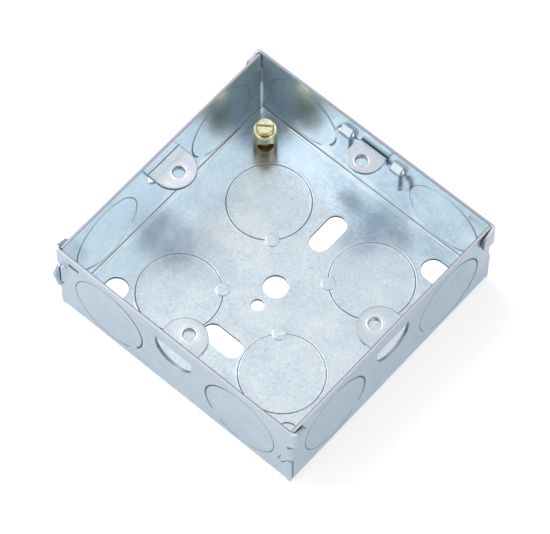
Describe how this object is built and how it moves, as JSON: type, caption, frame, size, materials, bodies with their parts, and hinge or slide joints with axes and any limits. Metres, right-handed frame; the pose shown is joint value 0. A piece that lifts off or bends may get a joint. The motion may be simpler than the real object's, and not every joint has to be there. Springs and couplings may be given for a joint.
{
  "type": "flush back box",
  "caption": "Shallow square galvanised steel back box with knockouts, folded fixing lugs, a sliding lug and a brass earth terminal.",
  "frame": {"origin": "middle of the underside of the base, at the centre hole", "axes": "+Z out of the open mouth; +Y towards the wall with the sliding lug; +X towards the wall to the right of it, seen into the mouth"},
  "size_m": [0.0736, 0.0736, 0.0255],
  "materials": {
    "galvanised_steel": "smooth bluish-white zinc",
    "brass": "plain turned brass"
  },
  "bodies": {
    "box": {"box_shell": "galvanised_steel", "earth_pillar": "brass"},
    "sliding_lug": {"adjustable_lug": "galvanised_steel"},
    "clamp_screw": {"earth_screw": "brass"}
  },
  "joints": [
    {"name": "lug_slide", "type": "slide", "parent": "box", "child": "sliding_lug", "axis": [1, 0, 0], "range_m": [-0.002, 0.0013]},
    {"name": "earth_screw_travel", "type": "slide", "parent": "box", "child": "clamp_screw", "axis": [0, 0, 1], "range_m": [-0.00025, 0.0033]}
  ]
}
